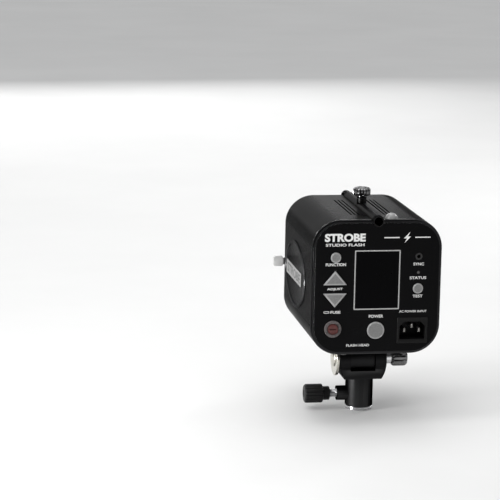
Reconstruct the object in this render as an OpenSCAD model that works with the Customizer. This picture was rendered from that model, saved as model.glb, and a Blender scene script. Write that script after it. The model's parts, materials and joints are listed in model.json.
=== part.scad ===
// Monolight studio flash head on a tilting stand socket, in millimetres.
// Frame: X to the right seen from behind, +Y the way the flash fires, +Z up.
// The origin is the mouth of the stand socket, on the socket's axis.

/* [Body] */
// Width of the housing
body_w = 122; // [118:1:140]
// Height of the housing
body_h = 126; // [124:1:140]
// Length of the housing sleeve, from the rear seam to the front seam
body_l = 139.4; // [136:0.2:170]
// Corner radius of the housing's cross-section
corner_r = 27; // [22:1:32]
// Wall thickness of the housing
wall = 2.4; // [2:0.1:3]
// How far the rear cap's edge steps in from the housing's
cap_step = 1.2; // [0.4:0.1:1.6]

/* [Umbrella holder] */
// Radius of the bore for the umbrella shaft
umbrella_bore_r = 4.15; // [4.05:0.05:4.25]
// Radius of the raised ridge that carries the umbrella tube
ridge_r = 5.5; // [5.4:0.1:6.4]
// Radius of the umbrella lock knob's head
umbrella_knob_r = 8.3; // [7.5:0.1:10]

/* [Stand mount] */
// Radius of the bore for the light stand's stud
socket_bore_r = 8.05; // [7.9:0.05:8.3]
// Depth of the socket bore
socket_depth = 30; // [24:1:31]
// Outer radius of the socket tube
socket_r = 13.3; // [13:0.1:15]
// Height of the tilt axis above the socket's mouth
tilt_z = 49.6; // [49:0.1:51]
// Radius of the fork's two round cheeks
cheek_r = 17.8; // [17:0.1:18]
// Overall width of the fork
yoke_w = 45; // [42:1:50]
// Radius of the tilt knob
tilt_knob_r = 9; // [8:0.5:12]
// Radius of the stand lock knob's grip
stand_knob_r = 9.1; // [8:0.1:12]

/* [Controls] */
// Radius of the two round push buttons
button_r = 4.7; // [4:0.1:5]
// Radius of the power button
power_r = 8; // [7:0.1:9]
// Width of the triangular buttons
arrow_w = 21.8; // [18:0.1:23]
// Height of the triangular buttons
arrow_h = 13; // [11:0.1:13.4]
// Gap round each button
button_gap = 0.3; // [0.25:0.05:0.5]

/* [Flash end] */
// Radius of the reflector's rim
dish_r = 42; // [38:0.5:42]
// Mean radius of the ring-shaped flashtube
tube_ring_r = 27; // [26:0.5:29]
// Radius of the flashtube's glass
tube_r = 4.5; // [3.5:0.1:4.5]
// How far an accessory release lever is pressed in
release_travel = 5; // [4:0.5:5.2]

/* [Hidden] */
$fn = 64;
e = 0.01;
fit_gap = 0.05;

// Planes along Y
back = -65;
overlay_t = 0.8;
panel_y = back + overlay_t;
cap_t = 2.2;
seam = 0.7;
sleeve_y = panel_y + cap_t + seam;
front = sleeve_y + body_l;
bezel_l = 12;
bezel_y = front + bezel_l;
lip_l = 8;

// Heights
body_z = 68.2 + body_h / 2;
body_bottom = body_z - body_h / 2;
body_top = body_z + body_h / 2;
flash_z = body_z - 3;
umbrella_z = body_top - 1.2;
stand_lock_z = 15;
chin_z = 32;

// The front bezel is a step smaller than the housing
bezel_w = body_w - 8;
bezel_h = body_h - 8;
bezel_r = corner_r - 4;

// Cooling slots in the top, as distances from the middle
slot_x = [12, 15.6, 19.2];
slot_w = 1.6;
slot_y = [-35, 48];

// Oval badges on the sides: two small end arcs joined by two wide ones
badge_y = 19;
oval_end = 29;
oval_end_r = 22;
oval_drop = 40;
oval_r = oval_end_r + sqrt(pow(oval_end, 2) + pow(oval_drop, 2));
badge_rim = 3;
band_y = 24;
band_size = [76, 13];

// Control positions: [x, z]
function_at = [-38.9, 159.9];
test_at = [38.7, 130.1];
power_at = [0, 91.2];
fuse_at = [-40.4, 93.2];
sync_at = [38.8, 160.1];
led_at = [38.7, 145.1];
up_at = [-39.1, 134.4];
down_at = [-39.1, 126.5];
display_at = [0, 138.6];
display_size = [43.2, 56];
inlet_at = [34.4, 90.7];
inlet_size = [28.6, 24.2];
pin_gap = 14;
board_y = -53;
button_in = -55.2;

// Slave sensor on top
dome_at = [14.1, -55.2];
dome_r = 5.9;
dome_h = 5.2;

// Umbrella lock
umbrella_tube_r = 4.85;
lock_y = 11;
lock_boss_r = 4.6;
lock_boss_top = 202;
knob_stem_r = 4.6;
knob_low = 202.3;
knob_mid = 204.9;
knob_top = 212.6;

// Fork
cheek_gap = 24;
lug_w = 23;
lug_r = 15;
lug_d = 9.2;
lug_screw_at = [7.5, 5.8];
bolt_r = 4;
end_plate_t = 3;

// Release slides and fingers
finger_z = 30;
finger_x = 50;
finger_t = 5;
finger_h = 8;
slide_y = front + 3;
slide_t = 3;
spring_z = 39;
spring_r = 2.7;
spring_turns = 7;
spring_pitch = 1.65;
guide_in = 26;
guide_out = 41.8;

// Plate that carries the lamp, inside the housing
lamp_plate_y = 50;
lamp_plate_t = 2;
tube_y = 96;
lamp_tip_y = 116;

// Cooling fan
fan_y = 30;
fan_t = 12;
fan_z = 151;
fan_bore = 28;
hub_r = 10;
shaft_r = 1.5;

// ---- shapes that repeat ----

// Rounded rectangle round the origin, in the plane
module rounded(w, h, r) {
    square([w - 2 * r, h], center = true);
    square([w, h - 2 * r], center = true);
    for (sx = [-1, 1], sz = [-1, 1])
        translate([sx * (w / 2 - r), sz * (h / 2 - r)]) circle(r);
}

// An outline in X and Z, made solid from y0 to y1
module along_y(y0, y1, x = 0, z = 0) {
    translate([x, y1, z]) rotate([90, 0, 0]) linear_extrude(y1 - y0) children();
}

// A rounded block from y0 to y1, centred on z
module block_y(w, h, r, y0, y1, z = body_z, x = 0) {
    along_y(y0, y1, x, z) rounded(w, h, r);
}

// A plain box from its lowest corner to its highest
module span(low, high) {
    translate(low) cube(high - low);
}

// An outline in Y and Z, made solid from x0 to x1
module along_x(x0, x1, y, z) {
    translate([x0, y, z]) rotate([90, 0, 90]) linear_extrude(x1 - x0) children();
}

module rod_x(r, x0, x1, y, z) {
    translate([x0, y, z]) rotate([0, 90, 0]) cylinder(h = x1 - x0, r = r);
}

module rod_y(r, y0, y1, x, z) {
    translate([x, y1, z]) rotate([90, 0, 0]) cylinder(h = y1 - y0, r = r);
}

module rod_z(r, z0, z1, x, y) {
    translate([x, y, z0]) cylinder(h = z1 - z0, r = r);
}

// A turned piece: the outline's first number is the radius, the second the way along +Y
module turned_y(y, x, z) {
    translate([x, y, z]) rotate([-90, 0, 0]) rotate_extrude() children();
}

// A triangle with its base on the origin's line, pointing up or down
module arrow(w, h, way) {
    polygon([[-w / 2, 0], [w / 2, 0], [0, way * h]]);
}

// The triangle with an even gap all round it
module arrow_hole(w, h, way, gap) {
    slope = sqrt(pow(w / 2, 2) + pow(h, 2));
    side = gap * (slope + w / 2) / h;
    rise = gap * slope / (w / 2);
    polygon([[-w / 2 - side, -way * gap], [w / 2 + side, -way * gap], [0, way * (h + rise)]]);
}

// Ribbed round grip along X: a drum with grooves cut in it
module grip_x(r, x0, x1, y, z, grooves) {
    difference() {
        rod_x(r, x0, x1, y, z);
        for (i = [0 : grooves - 1])
            translate([x0 - e, y, z]) rotate([i * 360 / grooves, 0, 0])
                translate([0, 0, r + 0.5]) rotate([0, 90, 0]) cylinder(h = x1 - x0 + 2 * e, r = 1.1);
    }
}

// ---- housing and rear ----

module ridge(r, y0, y1) {
    rod_y(r, y0, y1, 0, umbrella_z);
}

module housing() {
    color([0.13, 0.13, 0.14]) difference() {
        union() {
            difference() {
                block_y(body_w, body_h, corner_r, sleeve_y, front);
                block_y(body_w - 2 * wall, body_h - 2 * wall, corner_r - wall, sleeve_y - 1, front + 1);
            }
            ridge(ridge_r, sleeve_y, front - 8.5);
        }
        ridge(umbrella_tube_r + fit_gap, sleeve_y - 1, front + 1);
        rod_z(lock_boss_r + fit_gap, umbrella_z, body_top + 10, 0, lock_y);
        for (s = [-1, 1], x = slot_x)
            span([s * x - slot_w / 2, slot_y[0], body_top - wall - 1],
                 [s * x + slot_w / 2, slot_y[1], body_top + 1]);
        for (s = [-1, 1], x = [20 : 5 : 35])
            span([s * x - 1, -30, body_bottom - 1], [s * x + 1, 30, body_bottom + wall + 1]);
        for (s = [-1, 1])
            along_x(s * body_w / 2 - 0.8, s * body_w / 2 + 0.8, badge_y, flash_z) oval(0.5);
        for (sx = [-1, 1], sy = [-1, 1])
            rod_z(2.2, body_bottom - 1, body_bottom + wall + 1, sx * lug_screw_at[0], sy * lug_screw_at[1]);
        for (x = [-28, 28]) rod_z(1.6, body_bottom - 1, body_bottom + wall + 1, x, sleeve_y + 4);
    }
}

// Outlines of everything that passes through the control panel
module panel_holes(gap) {
    translate(function_at) circle(button_r + gap);
    translate(test_at) circle(button_r + gap);
    translate(power_at) circle(power_r + gap);
    translate(fuse_at) circle(7.9 + gap / 4);
    translate(sync_at) circle(3.2 + gap / 4);
    translate(led_at) circle(1.5 + gap / 4);
    translate(up_at) arrow_hole(arrow_w, arrow_h, 1, gap);
    translate(down_at) arrow_hole(arrow_w, arrow_h, -1, gap);
    translate(inlet_at) square(inlet_size + [gap, gap] / 4, center = true);
}

// Flat tabs that locate an end piece inside the sleeve, t thick, from y0 to y1
module tabs(t, y0, y1) {
    side = body_w / 2 - wall - 0.2;
    top = body_h / 2 - wall - 0.2;
    for (s = [-1, 1]) {
        translate([s * (side - t / 2), (y0 + y1) / 2, body_z]) cube([t, y1 - y0, 50], center = true);
        translate([s * 22, (y0 + y1) / 2, body_z + top - t / 2]) cube([20, y1 - y0, t], center = true);
    }
    translate([0, (y0 + y1) / 2, body_z - top + t / 2]) cube([64, y1 - y0, t], center = true);
}

module rear_panel() {
    color([0.07, 0.07, 0.075]) difference() {
        union() {
            block_y(body_w - 2 * cap_step, body_h - 2 * cap_step, corner_r - cap_step,
                    panel_y, panel_y + cap_t);
            ridge(ridge_r, panel_y, panel_y + cap_t);
            tabs(2, panel_y + cap_t - e, sleeve_y + lip_l);
        }
        ridge(umbrella_tube_r + fit_gap, panel_y - 1, sleeve_y + lip_l);
        along_y(panel_y - 1, panel_y + cap_t + 1) panel_holes(button_gap);
        along_y(panel_y - 1, panel_y + cap_t + 1, display_at[0], display_at[1])
            square(display_size - [3, 3], center = true);
        for (x = [-28, 28]) rod_z(1.25, body_bottom, body_bottom + wall + 4, x, sleeve_y + 4);
    }
}

module panel_overlay() {
    color([0.03, 0.03, 0.035]) difference() {
        block_y(body_w - 6, body_h - 6, corner_r - 3, back, panel_y);
        ridge(umbrella_tube_r + 0.1, back - 1, panel_y + 1);
        along_y(back - 1, panel_y + 1) panel_holes(button_gap);
        along_y(back - 1, panel_y + 1, display_at[0], display_at[1]) square(display_size, center = true);
    }
}

// ---- display and controls ----

module display_window() {
    color([0.02, 0.02, 0.03]) along_y(back + 0.1, panel_y, display_at[0], display_at[1])
        square(display_size - [0.1, 0.1], center = true);
}

module display_module() {
    color([0.2, 0.3, 0.22])
        along_y(panel_y + cap_t + 0.3, board_y - 1.5, display_at[0], display_at[1])
            square([50, 62], center = true);
}

// A cap that stands 0.8 proud of the panel, with a flange behind it
module round_button(at, r) {
    color([0.62, 0.62, 0.62]) {
        rod_y(r, back - 0.8, button_in, at[0], at[1]);
        rod_y(r + 1.2, panel_y + cap_t + 0.2, panel_y + cap_t + 1.2, at[0], at[1]);
    }
}

module function_button() { round_button(function_at, button_r); }

module test_button() { round_button(test_at, button_r); }

module power_button() { round_button(power_at, power_r); }

module arrow_button(at, way) {
    color([0.62, 0.62, 0.62]) {
        along_y(back - 0.8, button_in, at[0], at[1]) arrow(arrow_w, arrow_h, way);
        along_y(panel_y + cap_t + 0.2, panel_y + cap_t + 1.2, at[0], at[1])
            translate([0, way * arrow_h / 3]) square([arrow_w, arrow_h / 2], center = true);
    }
}

module up_button() { arrow_button(up_at, 1); }

module down_button() { arrow_button(down_at, -1); }

// One small switch on the control board behind each button
module tact_switches() {
    color([0.1, 0.1, 0.1])
        for (at = [function_at, test_at, up_at + [0, arrow_h / 3], down_at - [0, arrow_h / 3]])
            span([at[0] - 3, board_y - 1, at[1] - 3], [at[0] + 3, board_y, at[1] + 3]);
}

module power_switch() {
    color([0.1, 0.1, 0.1])
        span([power_at[0] - 9, button_in + 2.7, power_at[1] - 9], [power_at[0] + 9, -36, power_at[1] + 9]);
}

module control_board() {
    color([0.05, 0.3, 0.15]) difference() {
        block_y(104, 76, 6, board_y, board_y + 1.6, 144.5);
        for (s = [-1, 1]) rod_y(1.6, board_y - 1, board_y + 3, s * 48, 178);
        rod_y(3.3, board_y - 1, board_y + 3, sync_at[0], sync_at[1]);
    }
}

module fuse_holder() {
    color([0.55, 0.52, 0.5]) difference() {
        union() {
            rod_y(7.9, back - 1.4, panel_y + cap_t, fuse_at[0], fuse_at[1]);
            rod_y(7, panel_y + cap_t - e, -36, fuse_at[0], fuse_at[1]);
        }
        rod_y(5.2, back - 2, -40, fuse_at[0], fuse_at[1]);
    }
}

module fuse_cap() {
    color([0.32, 0.16, 0.14]) difference() {
        union() {
            rod_y(4.9, back - 2.4, -58, fuse_at[0], fuse_at[1]);
            rod_y(4.2, -58 - e, -55, fuse_at[0], fuse_at[1]);
        }
        translate([fuse_at[0], back - 2.1, fuse_at[1]]) cube([6.4, 1.8, 1.2], center = true);
    }
}

module fuse() {
    color([0.85, 0.85, 0.8]) rod_y(3.15, -54.8, -40.2, fuse_at[0], fuse_at[1]);
}

// The connector's keyed recess: a box with its two top corners cut off
module inlet_key(w, h, cut) {
    polygon([[-w / 2, -h / 2], [w / 2, -h / 2], [w / 2, h / 2 - cut], [w / 2 - cut, h / 2],
             [-w / 2 + cut, h / 2], [-w / 2, h / 2 - cut]]);
}

module power_inlet() {
    color([0.05, 0.05, 0.05]) difference() {
        union() {
            along_y(back - 0.9, panel_y + cap_t, inlet_at[0], inlet_at[1]) square(inlet_size, center = true);
            along_y(panel_y + cap_t - e, -42, inlet_at[0], inlet_at[1])
                square([27, 20], center = true);
        }
        along_y(back - 2, -47, inlet_at[0], inlet_at[1]) inlet_key(24, 16.4, 4.4);
        along_y(-48, -40, inlet_at[0], inlet_at[1] - 0.2)
            for (s = [-1, 1]) translate([s * pin_gap / 2, 0]) square([2, 4], center = true);
        along_y(-48, -40, inlet_at[0], inlet_at[1] + 3.8) square([2, 4], center = true);
    }
}

module inlet_pins() {
    color([0.75, 0.75, 0.72]) {
        for (s = [-1, 1])
            along_y(-63.5, -38, inlet_at[0] + s * pin_gap / 2, inlet_at[1] - 0.2)
                square([2, 4], center = true);
        along_y(-63.5, -38, inlet_at[0], inlet_at[1] + 3.8) square([2, 4], center = true);
    }
}

module sync_jack() {
    color([0.2, 0.2, 0.2]) difference() {
        union() {
            rod_y(3.2, back - 0.3, panel_y + cap_t, sync_at[0], sync_at[1]);
            rod_y(3, panel_y + cap_t - e, -48, sync_at[0], sync_at[1]);
            rod_y(4.2, panel_y + cap_t, board_y - 0.5, sync_at[0], sync_at[1]);
        }
        rod_y(1.8, back - 1, -50, sync_at[0], sync_at[1]);
    }
}

module status_led() {
    color([0.35, 0.3, 0.3]) rod_y(1.5, back - 0.2, board_y, led_at[0], led_at[1]);
}

// ---- top ----

module slave_dome() {
    ball = (pow(dome_r, 2) + pow(dome_h, 2)) / (2 * dome_h);
    color([0.85, 0.85, 0.85]) translate([dome_at[0], dome_at[1], body_top])
        rotate_extrude() intersection() {
            translate([0, dome_h - ball]) circle(ball);
            square([dome_r, dome_h]);
        }
}

module umbrella_tube() {
    color([0.1, 0.1, 0.1]) difference() {
        union() {
            rod_y(umbrella_tube_r, back - 0.5, bezel_y - 6, 0, umbrella_z);
            rod_z(lock_boss_r, umbrella_z, lock_boss_top, 0, lock_y);
        }
        rod_y(umbrella_bore_r, back - 1.5, bezel_y, 0, umbrella_z);
        rod_z(3 + fit_gap, umbrella_z, lock_boss_top + 1, 0, lock_y);
    }
}

module umbrella_knob() {
    flutes = 16;
    color([0.05, 0.05, 0.05]) translate([0, lock_y, 0]) difference() {
        union() {
            rod_z(umbrella_knob_r, knob_mid, knob_top, 0, 0);
            rod_z(knob_stem_r, knob_low, knob_mid + e, 0, 0);
        }
        for (i = [0 : flutes - 1]) rotate(i * 360 / flutes)
            translate([umbrella_knob_r + 0.5, 0, knob_mid - e]) cylinder(h = 10, r = 1.2);
        rod_z(3, knob_low - 1, knob_mid + 3, 0, 0);
    }
}

module umbrella_screw() {
    color([0.7, 0.7, 0.7]) rod_z(3, umbrella_z + umbrella_bore_r + 0.2, knob_mid + 3, 0, lock_y);
}

// ---- sides ----

// The badge's outline, grown outward by g
module oval(g) {
    reach = (oval_r + g) * oval_end / (oval_r - oval_end_r);
    intersection() {
        translate([0, -oval_drop]) circle(oval_r + g);
        translate([0, oval_drop]) circle(oval_r + g);
        square([2 * reach, 4 * oval_drop], center = true);
    }
    for (s = [-1, 1]) translate([s * oval_end, 0]) circle(oval_end_r + g);
}

// Part of a badge on side s, from depth d0 to depth d1 outward from the recess
module badge_layer(s, d0, d1, y) {
    x = body_w / 2 - 0.8;
    along_x(min(s * (x + d0), s * (x + d1)), max(s * (x + d0), s * (x + d1)), y, flash_z) children();
}

// An oval plate with a raised rim and a plain band along the middle
module badge(s) {
    color([0.2, 0.2, 0.21]) difference() {
        badge_layer(s, 0, 1.6, badge_y) oval(0);
        badge_layer(s, 1, 3, badge_y) oval(-badge_rim);
    }
    color([0.75, 0.75, 0.75]) badge_layer(s, 1 - e, 1.5, band_y) square(band_size, center = true);
}

module badge_left() { badge(-1); }

module badge_right() { badge(1); }

// ---- flash end ----

module finger_slots(gap) {
    for (s = [-1, 1], t = [-1, 1]) {
        far = finger_x + finger_t / 2 + gap;
        near = finger_x - finger_t / 2 - release_travel - gap;
        translate([s * (far + near) / 2, t * finger_z])
            square([far - near, finger_h + 2 * gap], center = true);
    }
}

// Round guide for one release spring, on side s and above or below by t
module spring_guide(s, t, r, x_in, x_out) {
    rod_x(r, min(s * x_in, s * x_out), max(s * x_in, s * x_out), slide_y + slide_t / 2,
          flash_z + t * spring_z);
}

module front_bezel() {
    inner = 2.4;
    color([0.06, 0.06, 0.06]) difference() {
        union() {
            difference() {
                block_y(bezel_w, bezel_h, bezel_r, front, bezel_y);
                block_y(bezel_w - 2 * inner, bezel_h - 2 * inner, bezel_r - inner, front - 1, bezel_y - 2.5);
            }
            difference() {
                block_y(body_w - 2 * wall - 0.4, body_h - 2 * wall - 0.4, corner_r - wall - 0.2, front,
                        front + 1);
                block_y(bezel_w - 2 * inner, bezel_h - 2 * inner, bezel_r - inner, front - 1, front + 2);
            }
            tabs(3.2, front - 5, front + 1);
            for (s = [-1, 1], t = [-1, 1]) spring_guide(s, t, spring_r + 1.2, guide_in, guide_out);
            for (t = [-1, 1]) span([-guide_out, slide_y + slide_t / 2 - 1.5, flash_z + t * spring_z - 1.5],
                                   [guide_out, bezel_y - 2, flash_z + t * spring_z + 1.5]);
        }
        for (s = [-1, 1], t = [-1, 1]) spring_guide(s, t, spring_r + 0.3, guide_in + 1, guide_out + 1);
        rod_y(dish_r + 0.4, front - 1, bezel_y + 1, 0, flash_z);
        along_y(bezel_y - 3, bezel_y + 1, 0, flash_z) finger_slots(0.5);
        for (s = [-1, 1]) translate([s * bezel_w / 2, slide_y + 2, flash_z])
            cube([10, 5, 10], center = true);
        ridge(umbrella_tube_r + 0.1, front - 6, bezel_y + 1);
        for (sx = [-1, 1], sz = [-1, 1])
            rod_y(1.7, bezel_y - 4, bezel_y + 1, sx * 44, body_z + sz * 50.5);
    }
}

module front_screws() {
    color([0.3, 0.3, 0.3]) for (sx = [-1, 1], sz = [-1, 1]) difference() {
        union() {
            rod_y(1.6, bezel_y - 6, bezel_y + e, sx * 44, body_z + sz * 50.5);
            rod_y(3, bezel_y, bezel_y + 1.6, sx * 44, body_z + sz * 50.5);
        }
        rod_y(1.2, bezel_y + 0.6, bezel_y + 3, sx * 44, body_z + sz * 50.5);
    }
}

// A bowl of thin polished sheet: rim at the front, flat floor with a hole behind
module reflector_dish() {
    depth = 26;
    floor_r = 34;
    t = 0.8;
    color([0.85, 0.85, 0.85]) difference() {
        turned_y(bezel_y - depth, 0, flash_z)
            polygon([[18, 0], [floor_r, 0], [dish_r, depth - 4], [dish_r, depth],
                     [dish_r - t, depth], [dish_r - t, depth - 4 + t / 4], [floor_r - t, t], [18, t]]);
        for (s = [-1, 1]) rod_y(4.6, bezel_y - depth - 1, bezel_y - depth + 2, s * 10, flash_z - 25);
    }
}

// Slide plate with its lever arm and its two hooked fingers
module release_slide(s) {
    inner = finger_x - finger_t / 2;
    outer = finger_x + finger_t / 2;
    bar_top = spring_z + 3;
    color([0.6, 0.6, 0.6]) mirror([s < 0 ? 1 : 0, 0, 0]) {
        span([inner, slide_y, flash_z - bar_top], [outer, slide_y + slide_t, flash_z + bar_top]);
        span([inner, slide_y, flash_z - 3.5], [body_w / 2 + 6, slide_y + slide_t, flash_z + 3.5]);
        for (t = [-1, 1]) {
            z = flash_z + t * finger_z;
            span([inner, slide_y, z - finger_h / 2], [outer, bezel_y + 7, z + finger_h / 2]);
            span([inner, bezel_y + 4, z - finger_h / 2], [outer + 2.5, bezel_y + 7, z + finger_h / 2]);
        }
    }
}

module release_slide_left() { release_slide(-1); }

module release_slide_right() { release_slide(1); }

// Pale tip pushed over the end of the lever arm
module release_cap(s) {
    color([0.78, 0.78, 0.78]) mirror([s < 0 ? 1 : 0, 0, 0]) difference() {
        block_y(9.3, 10, 2, slide_y - 0.8, slide_y + slide_t + 0.8, flash_z, body_w / 2 + 5.7);
        span([body_w / 2, slide_y, flash_z - 3.5], [body_w / 2 + 6, slide_y + slide_t, flash_z + 3.5]);
    }
}

module release_cap_left() { release_cap(-1); }

module release_cap_right() { release_cap(1); }

// Coil springs, each as a sleeve with a groove between its turns
module release_springs(s) {
    x0 = finger_x - finger_t / 2 - spring_turns * spring_pitch;
    color([0.7, 0.7, 0.7]) for (t = [-1, 1])
        translate([s * x0, slide_y + slide_t / 2, flash_z + t * spring_z]) rotate([0, s * 90, 0])
            rotate_extrude() {
                translate([spring_r - 0.9, 0]) square([0.5, spring_turns * spring_pitch]);
                for (i = [0 : spring_turns - 1])
                    translate([spring_r - 0.5, (i + 0.5) * spring_pitch]) circle(0.5, $fn = 24);
            }
}

module release_springs_left() { release_springs(-1); }

module release_springs_right() { release_springs(1); }

// Ring of glass, open at the bottom, with two legs that run back to the sockets
module flashtube() {
    open_half = asin(10 / tube_ring_r);
    color([0.9, 0.9, 0.88]) {
        translate([0, tube_y, flash_z]) rotate([-90, 0, 0]) rotate([0, 0, 90 + open_half])
            rotate_extrude(angle = 360 - 2 * open_half) translate([tube_ring_r, 0]) circle(tube_r, $fn = 32);
        for (s = [-1, 1]) rod_y(3.5, lamp_plate_y + 8, tube_y, s * 10, flash_z - 25);
    }
}

module flashtube_sockets() {
    color([0.85, 0.83, 0.78]) for (s = [-1, 1]) difference() {
        rod_y(6.5, lamp_plate_y - 12, lamp_plate_y + 12, s * 10, flash_z - 25);
        rod_y(3.55, lamp_plate_y + 8, lamp_plate_y + 13, s * 10, flash_z - 25);
    }
}

module modeling_lamp() {
    color([0.93, 0.92, 0.9]) translate([0, 0, flash_z]) {
        rod_y(13.2, lamp_plate_y + 3, lamp_plate_y + 22, 0, 0);
        turned_y(lamp_plate_y + 22 - e, 0, 0)
            polygon([[0, 0], [13.2, 0], [14.6, 4], [14.6, lamp_tip_y - lamp_plate_y - 32],
                     [13.4, lamp_tip_y - lamp_plate_y - 27], [10, lamp_tip_y - lamp_plate_y - 23.5],
                     [0, lamp_tip_y - lamp_plate_y - 22]]);
    }
}

module lamp_holder() {
    color([0.88, 0.86, 0.8]) difference() {
        rod_y(16.6, lamp_plate_y - 8, lamp_plate_y + 20, 0, flash_z);
        rod_y(13.25, lamp_plate_y + 3, lamp_plate_y + 21, 0, flash_z);
    }
}

// ---- inside ----

module lamp_plate() {
    color([0.7, 0.7, 0.72]) difference() {
        block_y(body_w - 2 * wall - 1, body_h - 2 * wall - 1, corner_r - wall - 0.5, lamp_plate_y,
                lamp_plate_y + lamp_plate_t);
        rod_y(16.65, lamp_plate_y - 1, lamp_plate_y + 3, 0, flash_z);
        for (s = [-1, 1]) rod_y(6.55, lamp_plate_y - 1, lamp_plate_y + 3, s * 10, flash_z - 25);
        ridge(ridge_r + 0.5, lamp_plate_y - 1, lamp_plate_y + 3);
    }
}

module capacitor_bank() {
    color([0.1, 0.15, 0.35]) for (x = [-37, 0, 37]) {
        rod_y(16.5, -33, 28, x, 92);
        for (s = [-1, 1]) rod_y(3, -35, -33 + e, x + s * 6, 92);
    }
}

module power_board() {
    color([0.1, 0.28, 0.14]) difference() {
        span([-50, -44, 112], [50, 26, 113.6]);
        rod_z(2, 111, 115, -46, 20);
        rod_z(2, 111, 115, 46, 20);
    }
}

module heatsink() {
    fins = 9;
    color([0.6, 0.62, 0.65]) {
        span([-46, -40, 113.6], [-8, 20, 117.6]);
        for (i = [0 : fins - 1]) span([-45 + i * 4.5, -40, 117.6 - e], [-43.4 + i * 4.5, 20, 140]);
    }
}

module trigger_coil() {
    color([0.7, 0.35, 0.15]) difference() {
        rod_z(12, 113.6, 138, 26, -8);
        rod_z(4, 115, 139, 26, -8);
    }
}

module fan_frame() {
    color([0.08, 0.08, 0.08]) difference() {
        block_y(60, 60, 4, fan_y, fan_y + fan_t, fan_z);
        rod_y(fan_bore, fan_y - 1, fan_y + fan_t - 1.6, 0, fan_z);
        rod_y(shaft_r + fit_gap, fan_y, fan_y + fan_t + 1, 0, fan_z);
        difference() {
            rod_y(fan_bore, fan_y - 1, fan_y + fan_t + 1, 0, fan_z);
            rod_y(hub_r, fan_y - 2, fan_y + fan_t + 2, 0, fan_z);
            for (i = [0 : 3]) translate([0, 0, fan_z]) rotate([0, 45 + i * 90, 0])
                span([0, fan_y + fan_t - 1.6, -1.5], [fan_bore + 1, fan_y + fan_t + 1, 1.5]);
        }
        for (sx = [-1, 1], sz = [-1, 1]) rod_y(2.1, fan_y - 1, fan_y + fan_t + 1, sx * 25, fan_z + sz * 25);
    }
}

module fan_rotor() {
    blades = 7;
    color([0.12, 0.12, 0.12]) {
        rod_y(hub_r, fan_y + 0.5, fan_y + fan_t - 2.2, 0, fan_z);
        rod_y(shaft_r, fan_y + 1, fan_y + fan_t, 0, fan_z);
        for (i = [0 : blades - 1]) translate([0, fan_y + 5, fan_z]) rotate([0, i * 360 / blades, 0])
            translate([8, 0, 0]) rotate([35, 0, 0]) translate([0, -0.7, -5]) cube([18.4, 1.4, 10]);
    }
}

module base_plate() {
    color([0.7, 0.7, 0.72]) difference() {
        span([-30, -24, body_bottom + wall + 0.1], [30, 24, body_bottom + wall + 2.6]);
        for (sx = [-1, 1], sy = [-1, 1])
            rod_z(2.2, body_bottom, body_bottom + wall + 3, sx * lug_screw_at[0], sy * lug_screw_at[1]);
    }
}

// ---- tilt mount ----

module tilt_lug() {
    color([0.08, 0.08, 0.085]) difference() {
        union() {
            rod_x(lug_r, -lug_w / 2, lug_w / 2, 0, tilt_z);
            span([-lug_w / 2, -lug_d, tilt_z], [lug_w / 2, lug_d, body_bottom]);
        }
        rod_x(bolt_r + fit_gap, -lug_w, lug_w, 0, tilt_z);
        for (sx = [-1, 1], sy = [-1, 1])
            rod_z(1.95, tilt_z + 6, body_bottom + 1, sx * lug_screw_at[0], sy * lug_screw_at[1]);
    }
}

module lug_screws() {
    top = body_bottom + wall + 2.6;
    color([0.7, 0.7, 0.7]) for (sx = [-1, 1], sy = [-1, 1]) {
        rod_z(1.9, tilt_z + 7, top + e, sx * lug_screw_at[0], sy * lug_screw_at[1]);
        rod_z(3.4, top, top + 2.4, sx * lug_screw_at[0], sy * lug_screw_at[1]);
    }
}

module rear_screws() {
    color([0.3, 0.3, 0.3]) for (x = [-28, 28]) {
        rod_z(1.2, body_bottom - e, body_bottom + wall + 2.4, x, sleeve_y + 4);
        rod_z(2.6, body_bottom - 1.2, body_bottom, x, sleeve_y + 4);
    }
}

// Fork seen from behind: straight sides that curve inward to the foot
module yoke_front() {
    bend = 24;
    start = chin_z + 14;
    translate([-yoke_w / 2, start]) square([yoke_w, cheek_r * 2 + 10]);
    intersection() {
        translate([yoke_w / 2 - bend, start]) circle(bend);
        translate([bend - yoke_w / 2, start]) circle(bend);
        translate([-yoke_w / 2, chin_z]) square([yoke_w, 14 + e]);
    }
}

module yoke() {
    color([0.06, 0.06, 0.065]) difference() {
        intersection() {
            along_y(-30, 30) yoke_front();
            union() {
                rod_x(cheek_r, -40, 40, 0, tilt_z);
                span([-40, -16.5, chin_z], [40, 16.5, chin_z + 10]);
            }
        }
        intersection() {
            span([-cheek_gap / 2, -40, chin_z - 1], [cheek_gap / 2, 40, 90]);
            union() {
                rod_x(lug_r + 0.3, -40, 40, 0, tilt_z);
                span([-40, -40, tilt_z - lug_d - 0.5], [40, 40, 90]);
            }
        }
        rod_x(bolt_r + fit_gap, -40, 40, 0, tilt_z);
    }
}

module tilt_end_plate() {
    low = -yoke_w / 2 - end_plate_t;
    color([0.8, 0.78, 0.74]) difference() {
        rod_x(cheek_r - 1, low, -yoke_w / 2, 0, tilt_z);
        rod_x(bolt_r + fit_gap, low - 1, 0, 0, tilt_z);
    }
}

// Carriage bolt with a low round head
module tilt_bolt() {
    low = -yoke_w / 2 - end_plate_t;
    color([0.75, 0.74, 0.72]) {
        rod_x(bolt_r, low - 1, 42, 0, tilt_z);
        rod_x(8.5, low - 1.6, low, 0, tilt_z);
        rod_x(6.5, low - 2.6, low - 1.6 + e, 0, tilt_z);
    }
}

module tilt_spacer() {
    color([0.85, 0.85, 0.85]) difference() {
        union() {
            rod_x(9.5, yoke_w / 2, yoke_w / 2 + 2, 0, tilt_z);
            rod_x(6.7, yoke_w / 2 + 2 - e, yoke_w / 2 + 7.4, 0, tilt_z);
        }
        rod_x(bolt_r + fit_gap, yoke_w / 2 - 1, yoke_w / 2 + 8, 0, tilt_z);
    }
}

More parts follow.
